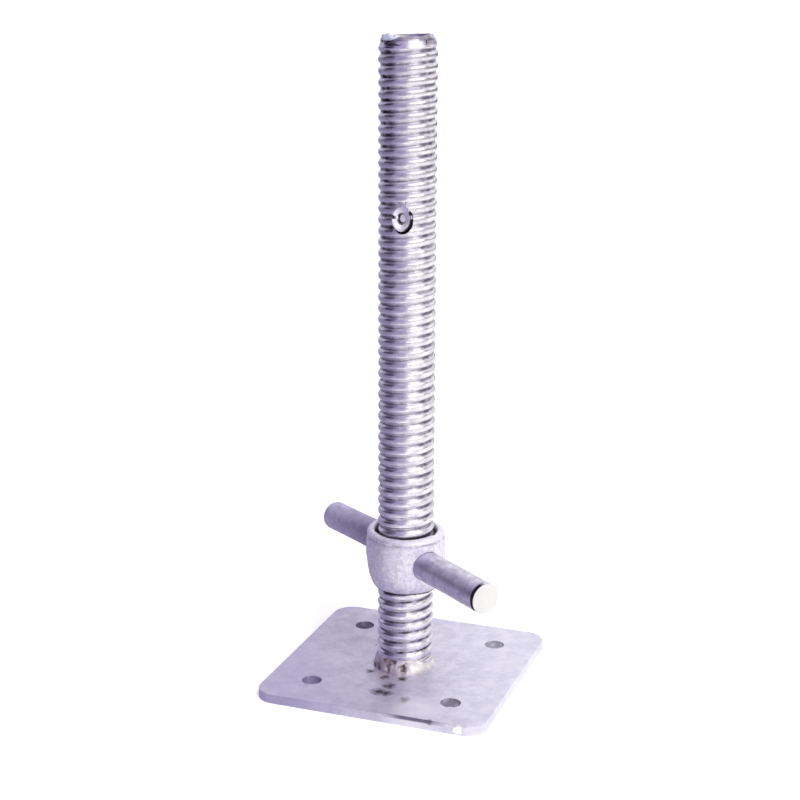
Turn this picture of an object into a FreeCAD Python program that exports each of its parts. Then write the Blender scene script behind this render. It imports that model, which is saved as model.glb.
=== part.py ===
"""Scaffold screw jack: a hollow threaded spindle welded upright on a square
base plate, with a cast adjusting nut that two bars turn by hand.

Millimetres, +Z up. The origin is on the underside of the base plate, on the
axis of the spindle, and the edges of the plate run along X and Y.
"""

import FreeCAD, Part
import math
import os

# base plate
plate_side = 150.0
plate_thickness = 6.0
plate_corner_radius = 13.0
bolt_hole_diameter = 12.5
bolt_hole_spacing = 93.0

# spindle, a tube with one right-hand thread from end to end
spindle_length = 402.0
spindle_bore_diameter = 27.0
spindle_end_chamfer = 0.8
thread_diameter = 35.7
thread_pitch = 6.9
thread_depth = 1.4
thread_start_angle = -62.0

# weld between spindle and plate
weld_leg_on_plate = 4.2
weld_leg_on_spindle = 8.0

# stop pin, a slotted tube squeezed oval in its cross hole
pin_height_above_plate = 294.3
pin_angle = -82.0
pin_width = 11.4
pin_depth = 15.4
pin_wall = 3.0
pin_slot_width = 2.0
pin_slot_angle = 12.0
pin_projection = 0.9
pin_hole_clearance = 0.05

# adjusting nut, cast, with a cup round the spindle in its upper face
nut_height_above_plate = 54.0
nut_height = 38.2
nut_diameter = 49.4
nut_foot_diameter = 38.6
nut_taper_height = 20.0
nut_rim_rounding = 3.2
nut_running_clearance = 0.3
cup_diameter = 40.2
cup_depth = 8.0

# handle bars, set in blind sockets in the wall of the nut
bar_diameter = 19.0
bar_span = 175.6
bar_angle = -37.15
bar_height_in_nut = 20.3
bar_seat_wall = 1.9
bar_seat_clearance = 0.05

# places that follow from the sizes
AXIS = FreeCAD.Vector(0, 0, 1)
ORIGIN = FreeCAD.Vector(0, 0, 0)
thread_radius = thread_diameter / 2
spindle_top = plate_thickness + spindle_length
pin_z = plate_thickness + pin_height_above_plate
nut_bore_radius = thread_radius + nut_running_clearance
nut_base_z = plate_thickness + nut_height_above_plate
bar_z = nut_base_z + bar_height_in_nut
bar_seat_distance = nut_bore_radius + bar_seat_wall


def turned(shape, degrees):
    """The shape turned about the spindle's axis."""
    shape.rotate(ORIGIN, AXIS, degrees)
    return shape


def revolved(points):
    """A ring from its half section, given as (radius, height) points."""
    section = [FreeCAD.Vector(radius, 0, height) for radius, height in points]
    outline = Part.makePolygon(section + section[:1])
    return Part.Face(outline).revolve(ORIGIN, AXIS, 360)


def drilled(radius, z_low, z_high):
    """A cylinder on the spindle's axis, for a bore from one height to another."""
    return Part.makeCylinder(radius, z_high - z_low, FreeCAD.Vector(0, 0, z_low))


def oval(width, height, distance):
    """An upright oval across the X axis at a distance from the spindle's axis."""
    centre = FreeCAD.Vector(distance, 0, 0)
    tall = FreeCAD.Vector(distance, 0, height / 2)
    wide = FreeCAD.Vector(distance, width / 2, 0)
    if height < width:
        tall, wide = wide, tall
    return Part.Wire(Part.Ellipse(tall, wide, centre).toShape())


def make_base_plate():
    """Square plate with rounded corners and four bolt holes."""
    corner = FreeCAD.Vector(-plate_side / 2, -plate_side / 2, 0)
    plate = Part.makeBox(plate_side, plate_side, plate_thickness, corner)
    uprights = [edge for edge in plate.Edges if edge.BoundBox.ZLength > plate_thickness / 2]
    plate = plate.makeFillet(plate_corner_radius, uprights)
    half_spacing = bolt_hole_spacing / 2
    for x in (-half_spacing, half_spacing):
        for y in (-half_spacing, half_spacing):
            place = FreeCAD.Vector(x, y, 0)
            plate = plate.cut(Part.makeCylinder(bolt_hole_diameter / 2, plate_thickness, place))
    return plate


def thread_turn():
    """Both flanks of one turn, from crest down to root and up to the next crest."""
    half_pitch = thread_pitch / 2
    crest_below = FreeCAD.Vector(thread_radius, 0, -half_pitch)
    root = FreeCAD.Vector(thread_radius - thread_depth, 0, 0)
    crest_above = FreeCAD.Vector(thread_radius, 0, half_pitch)
    helix = Part.makeHelix(thread_pitch, thread_pitch, thread_radius)
    sweep = Part.BRepOffsetAPI.MakePipeShell(Part.Wire(helix.Edges))
    sweep.setBiNormalMode(AXIS)
    sweep.add(Part.makePolygon([crest_below, root, crest_above]))
    sweep.build()
    return sweep.shape()


def make_threaded_rod():
    """A solid rod as long as the spindle, with the thread on its outside."""
    turns = math.ceil(spindle_length / thread_pitch)
    flanks = []
    for number in range(-1, turns + 2):
        turn = thread_turn()
        turn.translate(FreeCAD.Vector(0, 0, plate_thickness + number * thread_pitch))
        flanks += turn.Faces
    thread = Part.makeCompound(flanks)
    thread.sewShape()
    blank = drilled(thread_radius + thread_depth, plate_thickness, spindle_top)
    pieces, _ = blank.generalFuse([turned(thread, thread_start_angle)])
    middle = FreeCAD.Vector(0, 0, (plate_thickness + spindle_top) / 2)
    rods = [solid for solid in pieces.Solids if solid.isInside(middle, 0.001, True)]
    return rods[0]


def make_spindle():
    """Threaded tube that stands on the plate, chamfered and open at its top."""
    spindle = make_threaded_rod()
    spindle = spindle.cut(drilled(spindle_bore_diameter / 2, plate_thickness, spindle_top))
    beyond = thread_radius + spindle_end_chamfer
    chamfer = revolved([
        (thread_radius - spindle_end_chamfer, spindle_top),
        (beyond, spindle_top),
        (beyond, spindle_top - 2 * spindle_end_chamfer),
    ])
    return spindle.cut(chamfer).cut(make_pin_hole())


def make_base_weld():
    """Fillet weld all round the foot of the spindle."""
    return revolved([
        (thread_radius, plate_thickness),
        (thread_radius + weld_leg_on_plate, plate_thickness),
        (thread_radius, plate_thickness + weld_leg_on_spindle),
    ])


def make_pin_hole():
    """Oval cross hole for the stop pin, through both walls of the spindle."""
    width = pin_width + 2 * pin_hole_clearance
    height = pin_depth + 2 * pin_hole_clearance
    outside = thread_radius + thread_depth
    hole = Part.Face(oval(width, height, -outside)).extrude(FreeCAD.Vector(2 * outside, 0, 0))
    hole.translate(FreeCAD.Vector(0, 0, pin_z))
    return turned(hole, pin_angle)


def make_stop_pin():
    """Slotted tubular pin through the spindle, a little proud at both ends."""
    reach = thread_radius + pin_projection
    along = FreeCAD.Vector(2 * reach, 0, 0)
    pin = Part.Face(oval(pin_width, pin_depth, -reach)).extrude(along)
    bore = Part.Face(oval(pin_width - 2 * pin_wall, pin_depth - 2 * pin_wall, -reach)).extrude(along)
    slot_corner = FreeCAD.Vector(-reach, -pin_width, -pin_slot_width / 2)
    slot = Part.makeBox(2 * reach, pin_width, pin_slot_width, slot_corner)
    slot.rotate(ORIGIN, FreeCAD.Vector(1, 0, 0), -pin_slot_angle)
    pin = pin.cut(bore).cut(slot)
    pin.translate(FreeCAD.Vector(0, 0, pin_z))
    return turned(pin, pin_angle)


def make_adjusting_nut():
    """Cast nut: tapered below, with a rounded rim and a cup round the thread."""
    outer = nut_diameter / 2
    cup = cup_diameter / 2
    rim_z = nut_base_z + nut_height
    shoulder_z = rim_z - cup_depth
    rounded_rim = []
    for angle in (0, math.pi / 6, math.pi / 3, math.pi / 2):
        inset = nut_rim_rounding * (1 - math.cos(angle))
        drop = nut_rim_rounding * (1 - math.sin(angle))
        rounded_rim.append((outer - inset, rim_z - drop))
    nut = revolved([
        (nut_bore_radius, nut_base_z),
        (nut_foot_diameter / 2, nut_base_z),
        (outer, nut_base_z + nut_taper_height),
        *rounded_rim,
        (cup, rim_z),
        (cup, shoulder_z),
        (nut_bore_radius, shoulder_z),
    ])
    for degrees in (bar_angle, bar_angle + 180):
        nut = nut.cut(make_bar(degrees, bar_seat_clearance))
    return nut


def make_bar(degrees, growth=0.0):
    """One handle bar, or the socket for it when it is grown by a clearance."""
    length = bar_span / 2 - bar_seat_distance
    seat = FreeCAD.Vector(bar_seat_distance - growth, 0, bar_z)
    outwards = FreeCAD.Vector(1, 0, 0)
    bar = Part.makeCylinder(bar_diameter / 2 + growth, length + growth, seat, outwards)
    return turned(bar, degrees)


PARTS = {
    "base_plate": make_base_plate,
    "spindle": make_spindle,
    "base_weld": make_base_weld,
    "stop_pin": make_stop_pin,
    "adjusting_nut": make_adjusting_nut,
    "near_handle_bar": lambda: make_bar(bar_angle),
    "far_handle_bar": lambda: make_bar(bar_angle + 180),
}

os.makedirs("parts", exist_ok=True)
for name, make in PARTS.items():
    shape = make()
    shape.exportStep(os.path.join("parts", name + ".step"))
    print(name, len(shape.Solids), "solid", "valid" if shape.isValid() else "NOT VALID", round(shape.Volume))
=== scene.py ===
"""Looks of a galvanised scaffold screw jack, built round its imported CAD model.

Every visible node gets a finished mesh in its place: the rolled rope thread with its cut end,
the slotted stop pin, the weld bead, the sheared plate, the cast nut and its two bars. Sizes are
in millimetres, and meshes are made in metres. The sizes are those of the CAD model, but for the
nut, which has a fuller belly, and the far bar, which is set higher and droops.
"""

import math

import bmesh
import bpy
from mathutils import Euler, Matrix, Vector, noise


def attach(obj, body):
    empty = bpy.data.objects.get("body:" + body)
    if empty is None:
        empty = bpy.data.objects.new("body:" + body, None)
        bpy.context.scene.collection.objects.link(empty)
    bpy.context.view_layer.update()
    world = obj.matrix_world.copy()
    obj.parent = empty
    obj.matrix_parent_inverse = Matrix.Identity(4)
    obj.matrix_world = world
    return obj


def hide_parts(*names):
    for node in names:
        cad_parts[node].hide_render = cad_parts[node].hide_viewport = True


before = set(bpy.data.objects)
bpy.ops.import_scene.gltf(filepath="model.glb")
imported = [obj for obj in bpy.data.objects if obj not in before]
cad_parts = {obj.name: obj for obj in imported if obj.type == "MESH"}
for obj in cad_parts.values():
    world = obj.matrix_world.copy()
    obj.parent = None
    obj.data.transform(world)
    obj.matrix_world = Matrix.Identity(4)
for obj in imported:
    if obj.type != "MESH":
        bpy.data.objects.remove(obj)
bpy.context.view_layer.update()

MM = 0.001
UP = Vector((0, 0, 1))

# base plate
plate_side = 150.0
plate_thickness = 6.0
plate_corner_radius = 13.0
plate_edge_rounding = 0.5
bolt_hole_diameter = 12.5
bolt_hole_spacing = 93.0

# spindle
spindle_top = 408.0
spindle_bore_radius = 13.5
thread_radius = 17.85
thread_pitch = 6.9
thread_depth = 1.4
thread_start_angle = -62.0
thread_crest_power = 2.0
thread_rows_per_turn = 16
thread_steps_per_turn = 72
# how far below the top, and the widest radius that wear has left there
worn_end = ((7.0, 17.9), (5.0, 17.2), (3.0, 16.9), (1.6, 16.3), (0.7, 15.6), (0.0, 14.8))
worn_end_tilt = 0.72
worn_end_tilt_angle = 20.0
lump_angle = -123.0
lump_distance = 15.3
lump_size = (1.8, 5.0, 2.0)

# stop pin
pin_z = 300.3
pin_angle = -82.0
pin_width = 11.4
pin_depth = 15.4
pin_wall = 3.0
pin_slot_width = 2.0
pin_slot_angle = 12.0
pin_reach = 18.75
pin_recess_distance = 14.4
slot_clot_radius = 1.25
slot_clot_aside = 3.3
plug_radii = (1.95, 1.75)
plug_length = 2.0
# how far up from the pin's right side, in degrees, and the radius
recess_clots = ((8, 0.8), (46, 1.0), (60, 0.9))

# nut and bars
nut_bore_radius = 18.15
bar_diameter = 19.0
bar_reach = 87.8
bar_root = 20.05
bar_angle = -37.15
bar_z = 80.3
bar_socket_gap = 0.2
socket_length = 30.0
far_bar_root = 20.9
far_bar_rise_at_root = 2.9
far_bar_rise_at_tip = 1.2
far_bar_swing = 1.5
nut_rise = 2.2
nut_rise_angle = 152.0
nut_rise_width = 0.8


# shapes

def add_profile(shape, points, closed=True):
    """A line of edges through (radius, height) points, ready to spin about Z."""
    corners = [shape.verts.new((radius * MM, 0, height * MM)) for radius, height in points]
    sides = [shape.edges.new(pair) for pair in zip(corners, corners[1:])]
    if closed:
        sides.append(shape.edges.new((corners[-1], corners[0])))
    return corners + sides


def turned(points, steps=96, closed=True):
    """A shape turned on a lathe about Z."""
    shape = bmesh.new()
    profile = add_profile(shape, points, closed)
    bmesh.ops.spin(
        shape, geom=profile, cent=(0, 0, 0), axis=UP, dvec=(0, 0, 0),
        angle=math.tau, steps=steps, use_merge=True,
    )
    bmesh.ops.remove_doubles(shape, verts=shape.verts, dist=1e-6)
    return shape


def laid_along(shape, degrees, height):
    """Lays a shape made along Z out from the spindle's axis, in a direction and at a height."""
    place = Matrix.Translation(UP * height * MM) @ Matrix.Rotation(math.radians(degrees), 4, "Z")
    bmesh.ops.transform(shape, matrix=place @ Matrix.Rotation(math.pi / 2, 4, "Y"), verts=shape.verts)
    return shape


def finished(name, shape, crease=40):
    """A new object at the origin with the shape as its mesh, smooth but for its sharp edges."""
    bmesh.ops.recalc_face_normals(shape, faces=shape.faces)
    mesh = bpy.data.meshes.new(name)
    shape.to_mesh(mesh)
    shape.free()
    mesh.shade_smooth()
    mesh.set_sharp_from_angle(angle=math.radians(crease))
    piece = bpy.data.objects.new(name, mesh)
    bpy.context.scene.collection.objects.link(piece)
    return piece


def applied(piece, crease=40):
    """The piece with its modifiers made part of its mesh."""
    solved = piece.evaluated_get(bpy.context.evaluated_depsgraph_get())
    mesh = bpy.data.meshes.new_from_object(solved)
    piece.modifiers.clear()
    piece.data = mesh
    mesh.shade_smooth()
    mesh.set_sharp_from_angle(angle=math.radians(crease))
    return piece


def combined(piece, tool, operation):
    """The piece with a tool's shape cut away from it or joined to it."""
    step = piece.modifiers.new("carve", "BOOLEAN")
    step.operation = operation
    step.solver = "EXACT"
    step.object = tool
    applied(piece)
    bpy.data.objects.remove(tool)
    return piece


def joined(piece, other):
    """The piece with another's mesh sunk into it."""
    both = bmesh.new()
    both.from_mesh(piece.data)
    both.from_mesh(other.data)
    both.to_mesh(piece.data)
    both.free()
    bpy.data.objects.remove(other)
    return piece


def rippled(piece, size, amount, seed=0.0):
    """Moves the surface in and out by smooth noise of a size and an amount in millimetres."""
    offset = Vector((seed, 2 * seed, 3 * seed))
    mesh = piece.data
    moved = [v.co + v.normal * amount * MM * noise.noise(v.co / (size * MM) + offset) for v in mesh.vertices]
    for vertex, place in zip(mesh.vertices, moved):
        vertex.co = place
    return piece


def direction(degrees):
    """The unit vector that lies level in a direction."""
    return Vector((math.cos(math.radians(degrees)), math.sin(math.radians(degrees)), 0))


# spindle

def one_turn_of_thread():
    """One turn of the rolled rope thread, wide at its crests and narrow at its roots."""
    points = []
    for row in range(thread_rows_per_turn + 1):
        share = row / thread_rows_per_turn
        depth = ((1 + math.cos(math.tau * share)) / 2) ** thread_crest_power
        points.append((thread_radius - thread_depth * depth, share * thread_pitch))
    shape = bmesh.new()
    profile = add_profile(shape, points, closed=False)
    start = Matrix.Translation(UP * (plate_thickness - 2 * thread_pitch) * MM)
    start = start @ Matrix.Rotation(math.radians(thread_start_angle), 4, "Z")
    bmesh.ops.transform(shape, matrix=start, verts=shape.verts)
    bmesh.ops.spin(
        shape, geom=profile, cent=(0, 0, 0), axis=UP, angle=math.tau, steps=thread_steps_per_turn,
        dvec=UP * thread_pitch * MM / thread_steps_per_turn,
    )
    return shape


def threaded_rod():
    """A solid rod with the thread on it, cut level at both ends and worn round at the top."""
    shape = one_turn_of_thread()
    first_turn = shape.verts[:] + shape.edges[:] + shape.faces[:]
    turns = math.ceil((spindle_top - plate_thickness) / thread_pitch) + 3
    for turn in range(1, turns):
        copy = bmesh.ops.duplicate(shape, geom=first_turn)["geom"]
        corners = [part for part in copy if isinstance(part, bmesh.types.BMVert)]
        bmesh.ops.translate(shape, vec=UP * turn * thread_pitch * MM, verts=corners)
    bmesh.ops.remove_doubles(shape, verts=shape.verts, dist=2e-5)

    for below, _ in worn_end:
        everything = shape.verts[:] + shape.edges[:] + shape.faces[:]
        bmesh.ops.bisect_plane(shape, geom=everything, plane_co=UP * (spindle_top - below) * MM, plane_no=UP)
    for height, side in ((plate_thickness, -1), (spindle_top, 1)):
        everything = shape.verts[:] + shape.edges[:] + shape.faces[:]
        bmesh.ops.bisect_plane(
            shape, geom=everything, plane_co=UP * height * MM, plane_no=UP * side, clear_outer=True,
        )
    for corner in shape.verts:
        below = max(0, spindle_top - corner.co.z / MM)
        for (low, wide), (high, narrow) in zip(worn_end, worn_end[1:]):
            if high <= below <= low:
                widest = (narrow + (wide - narrow) * (below - high) / (low - high)) * MM
                corner.co.xy *= min(1, widest / corner.co.xy.length)
    bmesh.ops.holes_fill(shape, edges=[edge for edge in shape.edges if edge.is_boundary], sides=0)
    return shape


def oval_rod(growth, near, far, aside=0.0, down=0.0):
    """An upright oval rod along the stop pin's line, from one distance to another, and off it if need be."""
    shape = bmesh.new()
    bmesh.ops.create_cone(
        shape, cap_ends=True, segments=64, radius1=1, radius2=1, depth=(far - near) * MM,
        matrix=Matrix.Translation(UP * (near + far) / 2 * MM),
    )
    width = (pin_width / 2 + growth) * MM
    height = (pin_depth / 2 + growth) * MM
    bmesh.ops.scale(shape, vec=(height, width, 1), verts=shape.verts)
    bmesh.ops.translate(shape, vec=Vector((down, aside, 0)) * MM, verts=shape.verts)
    return laid_along(shape, pin_angle, pin_z)


def make_spindle():
    """The threaded tube: rod, bore, hole and recess for the pin, a top worn aslant and its lump of dross."""
    spindle = finished("threaded_spindle", threaded_rod())
    bore = [
        (0, plate_thickness - 1), (spindle_bore_radius, plate_thickness - 1),
        (spindle_bore_radius, spindle_top - 1.2), (spindle_bore_radius + 0.25, spindle_top - 0.5),
        (spindle_bore_radius + 0.8, spindle_top), (spindle_bore_radius + 1.8, spindle_top + 1),
        (0, spindle_top + 1),
    ]
    cutter = finished("cutter", turned(bore, 72, closed=False))
    beyond = thread_radius + 3
    for rod in (
        oval_rod(0.05, -beyond, beyond),
        oval_rod(0.75, pin_recess_distance, beyond, aside=0.6, down=0.7),
        oval_rod(1.0, -beyond, -pin_recess_distance),
    ):
        combined(cutter, finished("hole", rod), "UNION")
    combined(spindle, cutter, "DIFFERENCE")
    rippled(spindle, 7, 0.12, 1.0)
    rippled(spindle, 3, 0.05, 4.0)
    for vertex in spindle.data.vertices:
        place = vertex.co
        if place.z > (spindle_top - 0.6) * MM:
            tilt = place.xy.dot(direction(worn_end_tilt_angle).xy) / (spindle_bore_radius * MM)
            place.z += (0.3 * noise.noise(place / (5 * MM)) + worn_end_tilt * tilt) * MM
    lump = bmesh.new()
    bmesh.ops.create_icosphere(lump, subdivisions=4, radius=MM)
    bmesh.ops.scale(lump, vec=lump_size, verts=lump.verts)
    place = Matrix.Translation(Vector((lump_distance, 0, spindle_top - 0.4)) * MM)
    place = Matrix.Rotation(math.radians(lump_angle), 4, "Z") @ place
    bmesh.ops.transform(lump, matrix=place, verts=lump.verts)
    return joined(applied(spindle), rippled(finished("lump", lump), 2.4, 0.9, 2.0))


# stop pin, weld and plate

def make_stop_pin():
    """Slotted tube, rolled to an oval, its ends dished and clotted with zinc."""
    outer = pin_width / 2
    inner = outer - pin_wall
    shape = bmesh.new()
    wall = [
        (inner, 0.5 - pin_reach), (inner + 0.5, -pin_reach), (outer - 0.8, -pin_reach),
        (outer - 0.2, 0.3 - pin_reach), (outer, 1 - pin_reach), (outer, pin_reach - 1),
        (outer - 0.2, pin_reach - 0.3), (outer - 0.8, pin_reach), (inner + 0.5, pin_reach),
        (inner, pin_reach - 0.5),
    ]
    profile = add_profile(shape, wall)
    slot = pin_slot_width / outer
    bmesh.ops.spin(
        shape, geom=profile, cent=(0, 0, 0), axis=UP, dvec=(0, 0, 0),
        angle=math.tau - slot, steps=56, use_merge=False,
    )
    bmesh.ops.holes_fill(shape, edges=[edge for edge in shape.edges if edge.is_boundary], sides=0)
    towards_slot = math.radians(-90 - pin_slot_angle) + slot / 2
    bmesh.ops.rotate(shape, matrix=Matrix.Rotation(towards_slot, 3, "Z"), verts=shape.verts)
    for corner in shape.verts:
        if abs(corner.co.z) > (pin_reach - 2) * MM:
            inwards = 1 - (corner.co.xy.length / MM - inner) / pin_wall
            corner.co.z -= math.copysign(1, corner.co.z) * (1.3 * inwards * MM + 0.12 * corner.co.y)
    for side in (-1, 1):
        clot = bmesh.ops.create_icosphere(shape, subdivisions=3, radius=slot_clot_radius * MM)["verts"]
        place = Vector((0, -slot_clot_aside, side * (pin_reach - 2.1))) * MM
        turned_place = Matrix.Rotation(math.radians(-pin_slot_angle), 3, "Z") @ place
        bmesh.ops.translate(shape, vec=turned_place, verts=clot)
        place = Vector((-0.4, 0.95, side * (pin_reach - 2.7))) * MM
        bmesh.ops.create_cone(
            shape, cap_ends=True, segments=40, radius1=plug_radii[0] * MM, radius2=plug_radii[1] * MM,
            depth=plug_length * MM, matrix=Matrix.Translation(place),
        )
    for up_from_side, size in recess_clots:
        clot = bmesh.ops.create_icosphere(shape, subdivisions=3, radius=size * MM)["verts"]
        place = Vector((0, pin_width / 2 + 0.3, pin_reach - 1.3)) * MM
        turned_place = Matrix.Rotation(math.radians(up_from_side), 3, "Z") @ place
        bmesh.ops.translate(shape, vec=turned_place, verts=clot)
    bmesh.ops.scale(shape, vec=(pin_depth / pin_width, 1, 1), verts=shape.verts)
    return finished("slotted_pin", laid_along(shape, pin_angle, pin_z))


bead_inside = 16.4
bead_foot = 5.6
bead_mean_radius = 20.0
bead_smooth_angle = 15.0
bead_narrow_angle = -165.0
bead_lump_angle = -145.0

# direction in degrees, height, depth and size
weld_pits = (
    (-95, 13.5, 2.2, 1.5), (-106, 9.3, 2.2, 1.4), (-75, 10.3, 2.4, 1.4),
    (-78, 6.8, 1.5, 1.3), (-128, 10, 1.4, 1.6),
)

# place and radius of the drops of spatter on the plate
spatter = (
    (9.5, -31.5, 0.5), (-24.0, -16.0, 0.5), (31.0, 12.0, 0.6),
    (-27.5, 19.0, 0.6), (6.0, 33.0, 0.7), (18.0, 27.0, 0.5),
)


def make_weld():
    """Hand-laid fillet bead with its ripples, a lump where it stopped, pits and spatter."""
    bead = [
        (bead_inside, bead_foot), (22.0, bead_foot), (22.05, 6.3), (21.8, 7.6), (21.3, 8.9), (20.6, 10.2),
        (19.8, 11.4), (19.0, 12.5), (18.2, 13.4), (17.3, 14.0), (bead_inside, 14.2),
    ]
    shape = turned(bead, 240)
    for corner in shape.verts:
        turn = math.degrees(math.atan2(corner.co.y, corner.co.x))
        if corner.co.xy.length < 17 * MM:
            continue
        height = corner.co.z / MM
        smooth_side = 0.5 + 0.5 * math.cos(math.radians(turn - bead_smooth_angle))
        outwards = direction(turn)
        across = corner.co.xy.length / MM - bead_inside
        narrow_side = max(0, math.cos(math.radians(turn - bead_narrow_angle)))
        corner.co -= outwards * across * (0.50 * smooth_side ** 3 + 0.28 * narrow_side + 0.04) * MM
        corner.co.z -= max(0, height - 6) * 0.4 * smooth_side ** 2 * MM
        rough_side = 1 - 0.8 * smooth_side
        sway = 0.7 * noise.noise(outwards * 3.1 + UP * 0.3)
        sway += 0.4 * noise.noise(outwards * 8 + UP * height * 0.12)
        scale_line = 11 * math.radians(turn) + 0.10 * (height - 9) ** 2 + 3 * noise.noise(outwards * 2)
        stop_lump = 0.9 * math.exp(-((turn - bead_lump_angle) / 12) ** 2 - ((height - 8) / 3.5) ** 2)
        swell = (sway + 0.35 * abs(math.sin(scale_line))) * rough_side + stop_lump
        for pit_angle, pit_height, depth, size in weld_pits:
            aside = math.radians(turn - pit_angle) * bead_mean_radius
            swell -= depth * math.exp(-(aside ** 2 + (height - pit_height) ** 2) / size ** 2)
        above_foot = min(1, max(0, height - bead_foot) / 1.2)
        corner.co += (outwards + UP * 0.5) * swell * MM * above_foot
    for x, y, size in spatter:
        drop = bmesh.ops.create_icosphere(shape, subdivisions=2, radius=size * MM)["verts"]
        bmesh.ops.scale(shape, vec=(1, 1, 0.7), verts=drop)
        bmesh.ops.translate(shape, vec=Vector((x, y, plate_thickness)) * MM, verts=drop)
    return finished("weld_bead", shape, crease=70)


def make_plate():
    """Square plate with rounded corners, four drilled holes and softened edges."""
    half = plate_side / 2 * MM
    shape = bmesh.new()
    bmesh.ops.create_grid(shape, x_segments=1, y_segments=1, size=half)
    bmesh.ops.bevel(
        shape, geom=shape.verts[:], offset=plate_corner_radius * MM, offset_type="OFFSET",
        affect="VERTICES", segments=12, profile=0.5, material=-1,
    )
    raised = bmesh.ops.extrude_face_region(shape, geom=shape.faces[:])["geom"]
    corners = [part for part in raised if isinstance(part, bmesh.types.BMVert)]
    bmesh.ops.translate(shape, vec=UP * plate_thickness * MM, verts=corners)
    plate = finished("foot_plate", shape)
    for x in (-1, 1):
        for y in (-1, 1):
            drill = bmesh.new()
            centre = Vector((x, y, 0)) * bolt_hole_spacing / 2 * MM + UP * plate_thickness / 2 * MM
            radius = bolt_hole_diameter / 2 * MM
            bmesh.ops.create_cone(
                drill, cap_ends=True, segments=48, radius1=radius, radius2=radius,
                depth=2 * plate_thickness * MM, matrix=Matrix.Translation(centre),
            )
            combined(plate, finished("drill", drill), "DIFFERENCE")
    edges = plate.modifiers.new("softened edges", "BEVEL")
    edges.width = plate_edge_rounding * MM
    edges.segments = 3
    edges.limit_method = "ANGLE"
    edges.angle_limit = math.radians(50)
    return applied(plate, crease=10)


# nut and bars

def laid_as_bar(shape, degrees):
    """Lays a bar, or the cutter for its socket, in its place. The far one is set high and droops."""
    if degrees != bar_angle:
        for corner in shape.verts:
            out = corner.co.z / MM
            inwards = (bar_reach - out) / (bar_reach - bar_root)
            rise = far_bar_rise_at_tip + (far_bar_rise_at_root - far_bar_rise_at_tip) * inwards
            corner.co.x -= rise * MM
            corner.co.y += far_bar_swing * out / bar_reach * MM
    return laid_along(shape, degrees, bar_z)


def make_bar(name, degrees, root, end_points):
    """Round bar set in the nut, with its outer end as cut or as worn."""
    radius = bar_diameter / 2
    side = [(0, root), (radius - 0.5, root), (radius, root + 0.5)]
    middle = [(radius, bar_root + 6 * ring) for ring in range(1, 11)]
    bar = finished(name, laid_as_bar(turned(side + middle + end_points, 72, closed=False), degrees))
    rippled(bar, 14, 0.12, 2.0)
    return rippled(bar, 5, 0.05, 7.0)


def make_near_bar():
    """The bar with the sawn end: a burr round a flat face, behind a shallow ring."""
    radius = bar_diameter / 2
    return make_bar("near_bar", bar_angle, bar_root, [
        (radius, bar_reach - 4), (radius - 0.1, bar_reach - 3), (radius - 0.55, bar_reach - 2.2),
        (radius - 0.55, bar_reach - 1.2), (radius - 0.1, bar_reach - 0.7), (radius, bar_reach - 0.3),
        (radius - 0.15, bar_reach), (radius - 1.0, bar_reach), (radius - 4, bar_reach), (0, bar_reach),
    ])


def make_far_bar():
    """The bar with the end that is worn round."""
    radius = bar_diameter / 2
    return make_bar("far_bar", bar_angle + 180, far_bar_root, [
        (radius, bar_reach - 5), (radius, bar_reach - 2.6), (radius - 0.2, bar_reach - 1.5),
        (radius - 0.75, bar_reach - 0.65), (radius - 1.6, bar_reach - 0.2), (radius - 2.8, bar_reach),
        (radius - 5, bar_reach), (0, bar_reach),
    ])


def make_nut():
    """Cast nut: bellied, with a cup inside a rounded lip that rises by the far bar, and two sockets."""
    section = [
        (nut_bore_radius, 62.0), (18.6, 60.8), (18.9, 60.15), (19.3, 60.0), (19.9, 60.4), (20.7, 61.6),
        (22.0, 63.8), (23.1, 66.6), (23.9, 69.8), (24.5, 73.3), (25.0, 77.0), (25.3, 80.6),
        (25.35, 84.5), (25.3, 88.5), (25.2, 91.6), (25.1, 93.0), (24.95, 93.6), (24.4, 94.3),
        (24.65, 95.0), (24.7, 95.4), (24.45, 96.2), (23.6, 97.3), (22.6, 97.95), (21.4, 98.2),
        (20.6, 98.0), (20.15, 97.3), (20.05, 96.2), (20.1, 91.6), (19.8, 90.6), (19.0, 90.2),
        (18.5, 90.1), (nut_bore_radius, 89.7),
    ]
    nut = finished("cast_nut", turned(section, 96), crease=80)
    rounding = nut.modifiers.new("cast rounding", "SUBSURF")
    rounding.levels = rounding.render_levels = 1
    applied(nut, crease=80)
    rippled(nut, 11, 0.45, 3.0)
    rippled(nut, 4, 0.22, 5.0)
    for vertex in nut.data.vertices:
        place = vertex.co / MM
        if place.xy.length < nut_bore_radius:
            vertex.co.xy *= nut_bore_radius / place.xy.length
        # the lip's rise fades out over the whole wall outside, and close below the lip inside the cup
        low, high = (66, 80) if place.xy.length > 20.6 else (92, 96)
        share = min(1, max(0, (place.z - low) / (high - low)))
        facing = place.xy.normalized().dot(direction(nut_rise_angle).xy)
        turn = math.acos(min(1, max(-1, facing)))
        vertex.co.z += nut_rise * share * math.exp(-(turn / nut_rise_width) ** 2) * MM
    radius = (bar_diameter / 2 + bar_socket_gap) * MM
    for degrees in (bar_angle, bar_angle + 180):
        socket = bmesh.new()
        bmesh.ops.create_cone(
            socket, cap_ends=True, segments=72, radius1=radius, radius2=radius, depth=socket_length * MM,
            matrix=Matrix.Translation(UP * (bar_root - 0.05 + socket_length / 2) * MM),
        )
        combined(nut, finished("socket", laid_as_bar(socket, degrees)), "DIFFERENCE")
    return nut


# finishes

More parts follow.
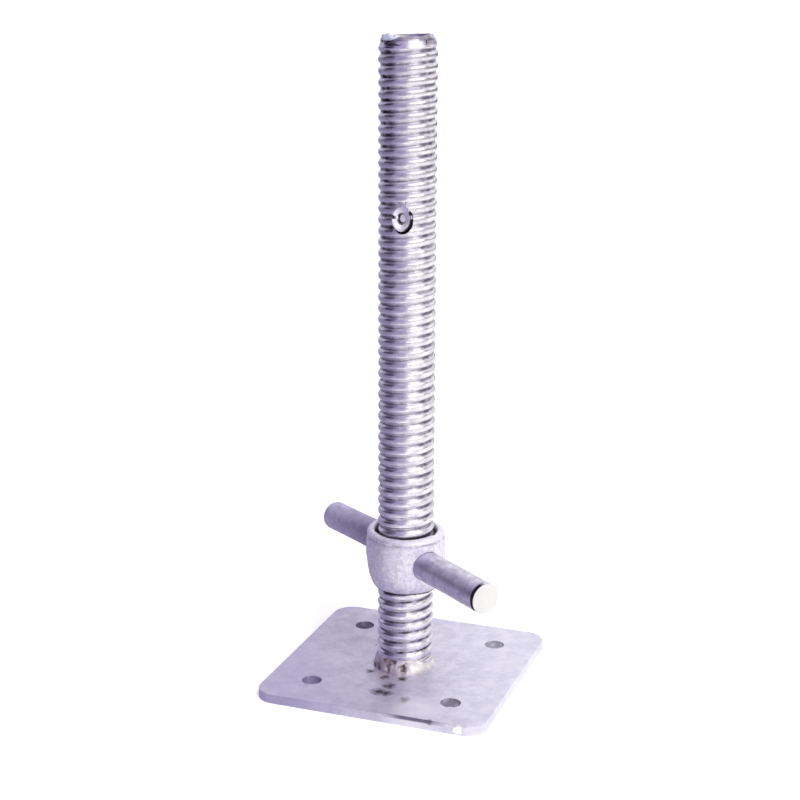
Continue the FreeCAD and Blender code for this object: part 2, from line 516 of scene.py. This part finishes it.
def new_node(tree, kind, inputs=None, **settings):
    """A shader node with its settings and its unlinked inputs."""
    made = tree.nodes.new(kind)
    for name, value in settings.items():
        setattr(made, name, value)
    for name, value in (inputs or {}).items():
        if isinstance(value, bpy.types.NodeSocket):
            tree.links.new(value, made.inputs[name])
        else:
            made.inputs[name].default_value = value
    return made


def ramp(tree, value, stops):
    """A colour ramp with stops given as (position, colour) pairs."""
    made = new_node(tree, "ShaderNodeValToRGB", {"Fac": value})
    while len(made.color_ramp.elements) < len(stops):
        made.color_ramp.elements.new(0.5)
    for element, (position, colour) in zip(made.color_ramp.elements, stops):
        element.position = position
        element.color = (*colour, 1)
    return made.outputs["Color"]


def mixed(tree, share, first, second):
    """Two colours mixed by a share."""
    made = new_node(tree, "ShaderNodeMix", data_type="RGBA")
    for place, value in ((0, share), (6, first), (7, second)):
        if isinstance(value, bpy.types.NodeSocket):
            tree.links.new(value, made.inputs[place])
        else:
            made.inputs[place].default_value = value if place == 0 else (*value, 1)
    return made.outputs[2]


def number(tree, operation, first, second=0.0, clamp=False):
    """One step of arithmetic on values."""
    made = new_node(tree, "ShaderNodeMath", {0: first, 1: second}, operation=operation, use_clamp=clamp)
    return made.outputs[0]


def vector_step(tree, operation, first, second=(0, 0, 0)):
    """One step of arithmetic on places: a value for a length or a product, or else a place."""
    made = new_node(tree, "ShaderNodeVectorMath", {0: first, 1: second}, operation=operation)
    return made.outputs["Value" if operation in ("LENGTH", "DOT_PRODUCT") else "Vector"]


def times(tree, first, second):
    """The product of two values."""
    return number(tree, "MULTIPLY", first, second)


def spread(tree, value, low, high, to_low=0.0, to_high=1.0):
    """A value mapped from one range to another and held inside it."""
    inputs = {"Value": value, "From Min": low, "From Max": high, "To Min": to_low, "To Max": to_high}
    made = new_node(tree, "ShaderNodeMapRange", inputs, clamp=True)
    return made.outputs["Result"]


def make_zinc_coat():
    """Hot-dip zinc: clouds of dull and pale metal, spangle, and a skin of fine grain."""
    group = bpy.data.node_groups.new("zinc coat", "ShaderNodeTree")
    sockets = (
        ("Place", "INPUT", "NodeSocketVector"),
        ("Pale", "INPUT", "NodeSocketColor"), ("Dull", "INPUT", "NodeSocketColor"),
        ("Cloud size mm", "INPUT", "NodeSocketFloat"), ("Spangle", "INPUT", "NodeSocketFloat"),
        ("Roughness low", "INPUT", "NodeSocketFloat"), ("Roughness high", "INPUT", "NodeSocketFloat"),
        ("Color", "OUTPUT", "NodeSocketColor"),
        ("Roughness", "OUTPUT", "NodeSocketFloat"), ("Height", "OUTPUT", "NodeSocketFloat"),
    )
    for name, way, kind in sockets:
        group.interface.new_socket(name, in_out=way, socket_type=kind)
    given = group.nodes.new("NodeGroupInput").outputs
    place = given["Place"]
    cloud_scale = number(group, "DIVIDE", 1000.0, given["Cloud size mm"])
    clouds = new_node(group, "ShaderNodeTexNoise", {
        "Vector": place, "Scale": cloud_scale, "Detail": 4.0, "Roughness": 0.6,
    }).outputs["Fac"]
    grains = new_node(group, "ShaderNodeTexNoise", {
        "Vector": place, "Scale": 900.0, "Detail": 3.0, "Roughness": 0.65,
    }).outputs["Fac"]
    crystals = new_node(group, "ShaderNodeTexVoronoi", {"Vector": place, "Scale": 420.0, "Randomness": 1.0})
    crystal_tone = new_node(group, "ShaderNodeSeparateColor", {"Color": crystals.outputs["Color"]}).outputs[0]
    crystal_share = times(group, number(group, "SUBTRACT", crystal_tone, 0.5), given["Spangle"])
    grain_share = times(group, number(group, "SUBTRACT", grains, 0.5), 0.5)
    tone = spread(group, clouds, 0.34, 0.66)
    tone = number(group, "ADD", tone, crystal_share, clamp=True)
    tone = number(group, "ADD", tone, grain_share, clamp=True)
    colour_mix = new_node(group, "ShaderNodeMix", data_type="RGBA")
    group.links.new(tone, colour_mix.inputs[0])
    group.links.new(given["Dull"], colour_mix.inputs[6])
    group.links.new(given["Pale"], colour_mix.inputs[7])
    roughness = new_node(group, "ShaderNodeMapRange", {
        "Value": tone, "From Min": 0.0, "From Max": 1.0,
        "To Min": given["Roughness high"], "To Max": given["Roughness low"],
    }).outputs["Result"]
    height = number(group, "ADD", times(group, clouds, 0.6), times(group, grains, 0.4))
    ends = group.nodes.new("NodeGroupOutput").inputs
    group.links.new(colour_mix.outputs[2], ends["Color"])
    group.links.new(roughness, ends["Roughness"])
    group.links.new(height, ends["Height"])
    return group


zinc_coat = make_zinc_coat()


def zinc(name, pale, dull, cloud_size, spangle, roughness, bump, extra, stretch=(1, 1, 1), metallic=1.0):
    """A galvanised finish from the shared zinc coat, with the marks that are special to one piece."""
    material = bpy.data.materials.new(name)
    material.use_nodes = True
    tree = material.node_tree
    tree.nodes.clear()
    place = new_node(tree, "ShaderNodeTexCoord").outputs["Object"]
    stretched = new_node(tree, "ShaderNodeMapping", {"Vector": place, "Scale": stretch}).outputs["Vector"]
    coat = new_node(tree, "ShaderNodeGroup", node_tree=zinc_coat)
    tree.links.new(stretched, coat.inputs["Place"])
    coat.inputs["Pale"].default_value = (*pale, 1)
    coat.inputs["Dull"].default_value = (*dull, 1)
    coat.inputs["Cloud size mm"].default_value = cloud_size
    coat.inputs["Spangle"].default_value = spangle
    coat.inputs["Roughness low"].default_value = roughness[0]
    coat.inputs["Roughness high"].default_value = roughness[1]
    colour, rough = extra(tree, place, coat.outputs["Color"], coat.outputs["Roughness"])
    if callable(metallic):
        metallic = metallic(tree, place)
    skin = new_node(tree, "ShaderNodeBump", {
        "Height": coat.outputs["Height"], "Strength": bump, "Distance": 0.0004,
    })
    metal = new_node(tree, "ShaderNodeBsdfPrincipled", {
        "Base Color": colour, "Roughness": rough, "Metallic": metallic, "Normal": skin.outputs["Normal"],
    })
    new_node(tree, "ShaderNodeOutputMaterial", {"Surface": metal.outputs["BSDF"]})
    return material


def distance(tree, place, point=(0, 0, 0), keep=(1, 1, 1)):
    """How far a place is from a point in millimetres, measured along the axes that are kept."""
    away = vector_step(tree, "SUBTRACT", place, [part * MM for part in point])
    away = vector_step(tree, "MULTIPLY", away, [1000 * part for part in keep])
    return vector_step(tree, "LENGTH", away)


def along(tree, place, line):
    """How far a place lies along a line from the origin, in millimetres."""
    return vector_step(tree, "DOT_PRODUCT", place, [1000 * part for part in line])


def off_level(tree, place, height):
    """How far a place is above or below a height, in millimetres."""
    return distance(tree, place, (0, 0, height), (0, 0, 1))


def from_axis(tree, place):
    """How far a place is from the spindle's axis, in millimetres."""
    return distance(tree, place, keep=(1, 1, 0))


def shaken(tree, place, scale, amount):
    """A place moved about by noise, in millimetres."""
    cloud = new_node(tree, "ShaderNodeTexNoise", {"Vector": place, "Scale": scale, "Detail": 2.0})
    sway = vector_step(tree, "SUBTRACT", cloud.outputs["Color"], (0.5, 0.5, 0.5))
    sway = vector_step(tree, "MULTIPLY", sway, [amount * MM] * 3)
    return vector_step(tree, "ADD", place, sway)


def patches(tree, place, scale, low, high, to_low=0.0, to_high=1.0):
    """Broken patches of noise."""
    cloud = new_node(tree, "ShaderNodeTexNoise", {"Vector": place, "Scale": scale, "Detail": 3.0})
    return spread(tree, cloud.outputs["Fac"], low, high, to_low, to_high)


def stained(tree, share, colour, rough, stain):
    """A finish with a stain laid over it by a share."""
    return mixed(tree, share, colour, stain), number(tree, "ADD", rough, times(tree, share, 0.25))


def lump_share(tree, place):
    """1 on the lump of dross at the top of the spindle, 0 away from it."""
    middle = direction(lump_angle) * 16 + UP * (spindle_top - 0.3)
    return spread(tree, distance(tree, place, middle, (0.6, 0.6, 2.0)), 5.2, 4.2)


def bright_but_for_lump(tree, place):
    """How metallic the spindle is: its lump of dross is chalky."""
    return number(tree, "SUBTRACT", 1.0, times(tree, lump_share(tree, place), 0.8))


# marks on the pieces

# dark marks at the spindle's cut end and below its pin: place, how each axis counts, and size
end_marks = (
    (direction(-102) * 17 + UP * 403.2, (0.12, 0.12, 1), 0.8),
    (direction(-119) * 17 + UP * 403.9, (0.6, 0.6, 1), 1.3),
    (direction(-114) * 17 + UP * 398.9, (0.5, 0.5, 1), 1.7),
    (direction(-30.6) * 16.8 + UP * 404.6, (1.6, 1.6, 0.6), 1.1),
    (direction(-30.6) * 17.4 + UP * 397.0, (1.6, 1.6, 0.7), 1.1),
    (direction(-106) * 17 + UP * 294.4, (0.8, 0.8, 1), 2.0),
)

# dark marks on the weld: x, y, z and size
weld_marks = (
    (-3.2, -17.5, 13.2, 3.8), (-7.0, -16.6, 13.4, 3.0), (5.3, -18.7, 10.4, 3.6), (4.6, -22.5, 6.6, 2.8),
    (-4.8, -19.6, 9.4, 3.6), (-13.1, -16.2, 8.6, 3.2), (-10.9, -19.0, 7.0, 2.8), (-15.6, -13.0, 7.6, 2.6),
    (11.0, -21.0, 6.4, 1.8), (8.6, -22.2, 6.8, 2.0),
)

# soot on the plate: x, y and size
soot_marks = (
    (2.7, -37.6, 5.6), (-0.5, -47.5, 6.4), (4.5, -47.8, 5.4), (18.3, -53.0, 5.0),
    (-4.5, -26.5, 3.6), (7.0, -25.0, 4.0), (-16.0, -21.0, 3.6), (42.0, -74.5, 2.6),
)


def marks_on_thread(tree, place, colour, rough):
    """Painted shade with some grime in the roots, more painted shade in them on the left, bluish painted
    shade in them on the right, marks at the cut end, painted shade in the recess round the pin, and the
    chalky lump."""
    radius = from_axis(tree, place)
    height = along(tree, place, UP)
    # painted shade with some grime in the thread roots, stronger on the lower turns
    share = spread(tree, radius, thread_radius - 1.0, thread_radius - 1.35)
    share = times(tree, share, patches(tree, place, 170.0, 0.36, 0.60, 0.35, 1.0))
    share = times(tree, share, spread(tree, height, 60.0, 120.0, 1.0, 0.55))
    colour, rough = stained(tree, share, colour, rough, (0.08, 0.07, 0.09))
    root = spread(tree, radius, thread_radius - 0.5, thread_radius - 1.2)
    # painted shade in the roots on the left side
    left_root_shade = times(tree, root, spread(tree, along(tree, place, direction(-120)), 15.0, 16.4))
    left_root_shade = times(tree, left_root_shade, spread(tree, height, 140.0, 340.0))
    left_root_shade = times(tree, left_root_shade, patches(tree, place, 210.0, 0.38, 0.56, 0.3, 1.0))
    colour, rough = stained(tree, left_root_shade, colour, rough, (0.03, 0.025, 0.05))
    # bluish painted shade in the roots on the right side
    right_root_shade = times(tree, root, spread(tree, along(tree, place, direction(-22)), 14.5, 16.1))
    right_root_shade = times(tree, right_root_shade, patches(tree, place, 230.0, 0.38, 0.56, 0.3, 0.85))
    colour, rough = stained(tree, right_root_shade, colour, rough, (0.13, 0.12, 0.20))
    for spot, keep, size in end_marks:
        mark = spread(tree, distance(tree, shaken(tree, place, 400.0, 1.5), spot, keep), size, 0.5 * size)
        colour, rough = stained(tree, times(tree, mark, 0.9), colour, rough, (0.07, 0.06, 0.09))
    # painted shade in the recess round the pin
    recess = times(tree, spread(tree, radius, 16.5, 16.2), low_beside_pin(tree, place))
    colour, rough = stained(tree, recess, colour, rough, (0.03, 0.025, 0.03))
    lump = lump_share(tree, place)
    return mixed(tree, lump, colour, (0.62, 0.66, 0.78)), number(tree, "ADD", rough, times(tree, lump, 0.4))


def low_beside_pin(tree, place):
    """Where the painted shade beside the pin lies: 1 beside and below the pin's middle, less at the clot on
    its right, 0 above.
    """
    low = spread(tree, off_level(tree, place, pin_z - 2.8), 7.6, 6.8)
    clot = spread(tree, off_level(tree, place, pin_z + 1.2), 1.3, 0.8, 1.0, 0.1)
    return times(tree, low, clot)


def marks_on_pin(tree, place, colour, rough):
    """Painted shade over the upper right of the pin's face, fading out to the lower left, and painted shade
    on its rim at the lower right.
    """
    # painted shade: the pin's face darker towards its upper right
    across = direction(pin_angle + 90) * 0.7 + UP * 0.7
    shade = spread(tree, along(tree, place, across), 0.7 * pin_z - 0.5, 0.7 * pin_z + 4.5, 0.0, 0.65)
    colour = mixed(tree, shade, colour, (0.52, 0.47, 0.66))
    # painted shade round the rim on the lower right, beside the recess
    front = spread(tree, along(tree, place, direction(pin_angle)), 0.0, 5.0)
    right = spread(tree, along(tree, place, direction(pin_angle + 90)), -0.5, 2.5)
    face = direction(pin_angle) * pin_reach + UP * pin_z
    rim = spread(tree, distance(tree, place, face, (2 / pin_width, 0, 2 / pin_depth)), 0.82, 0.92)
    rim = times(tree, times(tree, rim, times(tree, front, right)), low_beside_pin(tree, place))
    return stained(tree, rim, colour, rough, (0.06, 0.045, 0.05))


def marks_on_weld(tree, place, colour, rough):
    """Dark pits, with soot and painted shade in them, where the bead was stopped, and a warm painted shade on
    its left side.
    """
    share = 0.0
    uneven = shaken(tree, place, 330.0, 7.0)
    # soot and painted shade in the bead's pits
    for x, y, z, size in weld_marks:
        spot = spread(tree, distance(tree, uneven, (x, y, z)), size, 0.4 * size)
        share = number(tree, "MAXIMUM", spot, share)
    share = times(tree, share, patches(tree, place, 420.0, 0.32, 0.50, 0.4, 0.95))
    # painted shade: the bead darker and warmer on its left side
    shade = spread(tree, along(tree, place, direction(205)), -2.0, 18.0, 0.0, 0.8)
    colour = mixed(tree, shade, colour, (0.46, 0.35, 0.50))
    return stained(tree, share, colour, rough, (0.11, 0.055, 0.045))


def marks_on_plate(tree, place, colour, rough):
    """Painted shade in the bolt holes and over the left, painted light over the right, soot beside the weld,
    a stain along the front edge, pale and warm blooms, and a painted highlight on the front corner.
    """
    folded = vector_step(tree, "ABSOLUTE", place)
    half = bolt_hole_spacing / 2
    radius = bolt_hole_diameter / 2
    # painted shade inside the bolt holes
    hole = spread(tree, distance(tree, folded, (half, half, 0), (1, 1, 0)), radius + 0.3, radius + 0.1)
    hole = times(tree, hole, patches(tree, place, 330.0, 0.40, 0.56, 0.55, 1.0))
    colour, rough = stained(tree, hole, colour, rough, (0.13, 0.11, 0.17))
    # painted shade over the left of the plate
    dim = spread(tree, along(tree, place, direction(205)), -30.0, 70.0, 0.0, 0.75)
    colour = mixed(tree, dim, colour, (0.46, 0.43, 0.60))
    # painted light over the right of the plate
    pale = spread(tree, along(tree, place, direction(20)), 0.0, 70.0, 0.0, 0.5)
    colour = mixed(tree, pale, colour, (0.93, 0.93, 1.0))
    warm_bloom = spread(tree, distance(tree, place, (-5, -22, plate_thickness)), 17.0, 6.0, 0.0, 0.4)
    colour = mixed(tree, warm_bloom, colour, (0.58, 0.47, 0.50))
    soot = 0.0
    uneven = shaken(tree, place, 300.0, 5.0)
    for x, y, size in soot_marks:
        spot = spread(tree, distance(tree, uneven, (x, y, plate_thickness)), size, 0.3 * size)
        soot = number(tree, "MAXIMUM", spot, soot)
    soot = times(tree, soot, patches(tree, place, 350.0, 0.30, 0.50, 0.5, 1.0))
    colour, rough = stained(tree, soot, colour, rough, (0.08, 0.06, 0.08))
    pale_bloom = spread(tree, distance(tree, place, (28, -64, plate_thickness)), 22.0, 8.0, 0.0, 0.6)
    colour = mixed(tree, pale_bloom, colour, (0.98, 0.97, 1.0))
    edge = (0, -plate_side / 2, plate_thickness - 0.3)
    streak = spread(tree, distance(tree, place, edge, (0, 1, 1)), 1.9, 0.9, 0.0, 0.85)
    streak = times(tree, streak, spread(tree, distance(tree, place, (32, 0, 0), (1, 0, 0)), 22.0, 8.0))
    colour, rough = stained(tree, streak, colour, rough, (0.10, 0.08, 0.16))
    # painted highlight on the front right corner
    corner = spread(tree, distance(tree, uneven, (60.5, -75, 3.6)), 3.4, 2.4)
    return mixed(tree, corner, colour, (1.0, 1.0, 1.0)), rough


def marks_on_nut(tree, place, colour, rough):
    """A painted highlight on the lip's lit side, painted shade in the crease below it and in the cup, and
    painted shade round the foot's edge.
    """
    height = along(tree, place, UP)
    # painted highlight on the lit side of the lip
    lip = spread(tree, height, 94.6, 96.0, 0.0, 0.45)
    lip = times(tree, lip, spread(tree, along(tree, place, direction(20)), -12.0, 8.0))
    colour = mixed(tree, lip, colour, (1.0, 0.99, 1.0))
    uneven = shaken(tree, place, 90.0, 2.4)
    # painted shade in the crease below the lip
    crease = spread(tree, off_level(tree, uneven, 94.2), 1.0, 0.2, 0.0, 0.5)
    crease = times(tree, crease, patches(tree, place, 130.0, 0.42, 0.62, 0.1, 1.0))
    colour, rough = stained(tree, crease, colour, rough, (0.20, 0.17, 0.24))
    # painted shade inside the cup
    cup_shade = spread(tree, from_axis(tree, place), 20.7, 20.3)
    cup_shade = times(tree, cup_shade, spread(tree, height, 97.2, 95.0, 0.0, 0.6))
    colour, rough = stained(tree, cup_shade, colour, rough, (0.05, 0.04, 0.06))
    # painted shade on the lowest edge of the foot
    return stained(tree, spread(tree, height, 61.7, 60.9), colour, rough, (0.03, 0.025, 0.035))


def marks_on_far_bar(tree, place, colour, rough):
    """Painted shade on the far bar towards the nut, darkest in a ring where it comes out of the nut."""
    reach = along(tree, place, direction(bar_angle + 180))
    # painted shade on the far bar, growing towards the nut
    colour = mixed(tree, spread(tree, reach, 78.0, 30.0, 0.0, 0.8), colour, (0.36, 0.33, 0.47))
    # darker painted shade in a ring where the bar comes out of the nut
    return stained(tree, spread(tree, reach, 29.0, 26.5, 0.0, 0.9), colour, rough, (0.06, 0.05, 0.09))


def marks_on_near_bar(tree, place, colour, rough):
    """Bright sawn face, painted shade towards the nut, and painted shade beside the burr on the one side."""
    reach = along(tree, place, direction(bar_angle))
    aside = along(tree, place, direction(bar_angle - 90))
    # painted shade towards the nut
    colour = mixed(tree, spread(tree, reach, 38.0, 25.0, 0.0, 0.55), colour, (0.40, 0.37, 0.52))
    # painted shade beside the burr, on the one side
    burr = times(tree, spread(tree, reach, bar_reach - 3.6, bar_reach - 2.8), spread(tree, aside, -0.5, 3.0))
    colour, rough = stained(tree, burr, colour, rough, (0.05, 0.04, 0.06))
    face = spread(tree, reach, bar_reach - 0.25, bar_reach - 0.1)
    return mixed(tree, face, colour, (0.92, 0.92, 0.90)), rough


zinc_finishes = {
    "threaded_spindle": zinc(
        "galvanised thread", (0.98, 0.96, 0.98), (0.74, 0.70, 0.79), 7, 0.35, (0.17, 0.32), 0.35,
        extra=marks_on_thread, metallic=bright_but_for_lump,
    ),
    "slotted_pin": zinc(
        "galvanised pin", (0.98, 0.97, 1.0), (0.80, 0.78, 0.84), 6, 0.2, (0.28, 0.42), 0.25,
        extra=marks_on_pin, metallic=0.75,
    ),
    "weld_bead": zinc(
        "galvanised weld", (0.93, 0.91, 0.87), (0.67, 0.61, 0.63), 4, 0.3, (0.34, 0.52), 0.5,
        extra=marks_on_weld, metallic=0.55,
    ),
    "foot_plate": zinc(
        "galvanised plate", (0.75, 0.73, 0.82), (0.60, 0.58, 0.69), 9, 0.4, (0.34, 0.50), 0.3,
        extra=marks_on_plate, metallic=0.7,
    ),
    "cast_nut": zinc(
        "galvanised casting", (0.97, 0.95, 1.0), (0.76, 0.74, 0.85), 1.4, 0.7, (0.38, 0.54), 1.5,
        stretch=(1, 1, 0.8), extra=marks_on_nut, metallic=0.8,
    ),
    "near_bar": zinc(
        "galvanised sawn bar", (0.95, 0.93, 1.0), (0.68, 0.66, 0.78), 6, 0.5, (0.32, 0.46), 0.7,
        extra=marks_on_near_bar,
    ),
    # the far bar's zinc is a darker copy of the near bar's, as painted shade
    "far_bar": zinc(
        "galvanised bar", (0.80, 0.77, 0.92), (0.62, 0.59, 0.74), 6, 0.5, (0.50, 0.64), 0.7,
        extra=marks_on_far_bar, metallic=0.8,
    ),
}


# the object

for make, node, body, slot in (
    (make_spindle, "spindle", "root", "zinc_spindle"),
    (make_stop_pin, "stop_pin", "root", "zinc_pin"),
    (make_weld, "base_weld", "root", "zinc_weld"),
    (make_plate, "base_plate", "root", "zinc_plate"),
    (make_nut, "adjusting_nut", "nut", "zinc_casting"),
    (make_near_bar, "near_handle_bar", "nut", "zinc_bar"),
    (make_far_bar, "far_handle_bar", "nut", "zinc_bar"),
):
    piece = make()
    piece.data.materials.clear()
    piece.data.materials.append(zinc_finishes[piece.name])
    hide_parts(node)
    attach(piece, body)


# floor, light and camera

studio_turn = math.radians(20)
sun_turn = (math.radians(35), 0, math.radians(50))
sun_width = math.radians(25)
camera_place = Vector((336.6, -934.6, 458.6)) * MM
camera_turn = math.radians(20.05)
camera_tilt = math.radians(13.757)
camera_roll = 0.0034
camera_lens = 73.985
camera_shift = -0.0625


def round_the_set(tree, place):
    """How far a place lies round the studio: 0.5 at its front, 0.25 on its left, 0.75 on its right."""
    turn = (0, 0, math.pi / 2 - studio_turn)
    turned_place = new_node(tree, "ShaderNodeMapping", {"Vector": place, "Rotation": turn}).outputs["Vector"]
    sweep = new_node(tree, "ShaderNodeTexGradient", {"Vector": turned_place}, gradient_type="RADIAL")
    return sweep.outputs["Fac"]


def make_floor():
    """Pale floor that takes the object's shadow. The metal shows it white to the right, dim to the left."""
    shape = bmesh.new()
    bmesh.ops.create_grid(shape, x_segments=1, y_segments=1, size=30)
    floor = finished("floor", shape)
    material = bpy.data.materials.new("pale floor")
    material.use_nodes = True
    tree = material.node_tree
    tree.nodes.clear()
    spot = new_node(tree, "ShaderNodeTexCoord").outputs["Object"]
    around = round_the_set(tree, spot)
    # how bright the metal shows the floor, round the jack close by and farther off
    close_by = ramp(tree, around, [
        (0.00, (0.72, 0.71, 0.78)), (0.10, (0.36, 0.33, 0.50)), (0.24, (0.32, 0.29, 0.45)),
        (0.36, (0.64, 0.60, 0.76)), (0.42, (0.95, 0.93, 0.99)), (0.52, (1.1, 1.08, 1.1)),
        (0.85, (1.1, 1.09, 1.1)), (1.00, (0.72, 0.71, 0.78)),
    ])
    farther = ramp(tree, around, [
        (0.00, (0.72, 0.71, 0.78)), (0.10, (0.36, 0.33, 0.50)), (0.22, (0.27, 0.24, 0.37)),
        (0.31, (0.27, 0.24, 0.37)), (0.35, (0.40, 0.36, 0.54)), (0.475, (0.48, 0.44, 0.62)),
        (0.515, (1.1, 1.08, 1.1)), (0.85, (1.1, 1.09, 1.1)), (1.00, (0.72, 0.71, 0.78)),
    ])
    far_off = vector_step(tree, "LENGTH", spot)
    tone = mixed(tree, spread(tree, far_off, 0.2, 0.6), close_by, farther)
    gap = times(tree, spread(tree, far_off, 1.8, 3.5), spread(tree, around, 0.47, 0.53, 0.35, 0.8))
    tone = mixed(tree, gap, tone, (0.02, 0.02, 0.03))
    rays = new_node(tree, "ShaderNodeLightPath").outputs
    paint = new_node(tree, "ShaderNodeBsdfPrincipled", {
        "Base Color": (0.82, 0.82, 0.84, 1), "Roughness": 0.9, "Emission Color": (1, 1, 1, 1),
        "Emission Strength": times(tree, rays["Is Camera Ray"], 0.3),
    })
    reflected = new_node(tree, "ShaderNodeEmission", {"Color": tone, "Strength": 1.0})
    surface = new_node(tree, "ShaderNodeMixShader", {
        0: rays["Is Glossy Ray"], 1: paint.outputs["BSDF"], 2: reflected.outputs["Emission"],
    })
    new_node(tree, "ShaderNodeOutputMaterial", {"Surface": surface.outputs["Shader"]})
    floor.data.materials.append(material)


def make_studio():
    """Surroundings that the metal shows: white to the right, dim lilac to the left, and dark gaps."""
    world = bpy.data.worlds.new("studio")
    world.use_nodes = True
    bpy.context.scene.world = world
    tree = world.node_tree
    tree.nodes.clear()
    place = new_node(tree, "ShaderNodeTexCoord").outputs["Generated"]
    around = round_the_set(tree, place)
    walls = ramp(tree, around, [
        (0.00, (0.90, 0.88, 0.94)), (0.10, (0.58, 0.55, 0.70)), (0.18, (0.40, 0.37, 0.54)),
        (0.21, (0.04, 0.03, 0.07)), (0.325, (0.04, 0.03, 0.07)), (0.36, (0.38, 0.34, 0.54)),
        (0.475, (0.46, 0.41, 0.62)), (0.515, (1.1, 1.08, 1.1)), (0.70, (1.1, 1.08, 1.08)),
        (0.715, (0.40, 0.38, 0.42)), (0.75, (0.40, 0.38, 0.42)), (0.765, (1.0, 0.98, 1.0)),
        (1.00, (0.90, 0.88, 0.94)),
    ])
    overhead = ramp(tree, around, [
        (0.00, (0.84, 0.82, 0.88)), (0.10, (0.50, 0.48, 0.60)), (0.18, (0.33, 0.31, 0.45)),
        (0.24, (0.15, 0.13, 0.21)), (0.33, (0.16, 0.14, 0.22)), (0.37, (0.36, 0.33, 0.50)),
        (0.49, (0.42, 0.38, 0.56)), (0.55, (0.95, 0.93, 0.97)), (0.80, (0.95, 0.93, 0.97)),
        (1.00, (0.84, 0.82, 0.88)),
    ])
    height = new_node(tree, "ShaderNodeSeparateXYZ", {"Vector": place}).outputs["Z"]
    sky = mixed(tree, spread(tree, height, 0.45, 0.70), walls, overhead)
    sky = mixed(tree, spread(tree, height, 0.72, 0.90), sky, (0.66, 0.62, 0.75))
    gap = times(tree, spread(tree, height, 0.08, 0.03), spread(tree, around, 0.47, 0.53, 0.35, 0.8))
    sky = mixed(tree, gap, sky, (0.02, 0.02, 0.03))
    sky = mixed(tree, new_node(tree, "ShaderNodeLightPath").outputs["Is Camera Ray"], sky, (1, 1, 1))
    light = new_node(tree, "ShaderNodeBackground", {"Color": sky, "Strength": 1.0})
    new_node(tree, "ShaderNodeOutputWorld", {"Surface": light.outputs["Background"]})


def make_lamp(name, place, towards, size, power):
    """A soft box that faces a point."""
    data = bpy.data.lights.new(name, "AREA")
    data.shape = "RECTANGLE"
    data.size, data.size_y = size
    data.energy = power
    lamp = bpy.data.objects.new(name, data)
    lamp.location = place
    lamp.rotation_euler = (Vector(towards) - Vector(place)).to_track_quat("-Z", "Y").to_euler()
    bpy.context.scene.collection.objects.link(lamp)


def make_sun():
    """A wide sun that lights the pieces and is not seen in the metal."""
    data = bpy.data.lights.new("sun", "SUN")
    data.energy = 2.0
    data.angle = sun_width
    lamp = bpy.data.objects.new("sun", data)
    lamp.rotation_euler = sun_turn
    lamp.visible_glossy = False
    bpy.context.scene.collection.objects.link(lamp)


def make_camera():
    """The photograph's camera, from the straight edges and circles that it shows."""
    data = bpy.data.cameras.new("camera")
    data.sensor_width = 36
    data.lens = camera_lens
    data.shift_y = camera_shift
    data.clip_end = 100
    camera = bpy.data.objects.new("camera", data)
    level = Euler((math.pi / 2 - camera_tilt, 0, camera_turn)).to_matrix().to_4x4()
    camera.matrix_world = Matrix.Translation(camera_place) @ level @ Matrix.Rotation(camera_roll, 4, "Z")
    bpy.context.scene.collection.objects.link(camera)
    bpy.context.scene.camera = camera


make_floor()
make_studio()
make_lamp("key light", (1.6, -1.1, 1.35), (0, 0, 0.2), (2.2, 2.2), 10)
make_sun()
make_camera()
bpy.context.scene.view_settings.view_transform = "Standard"
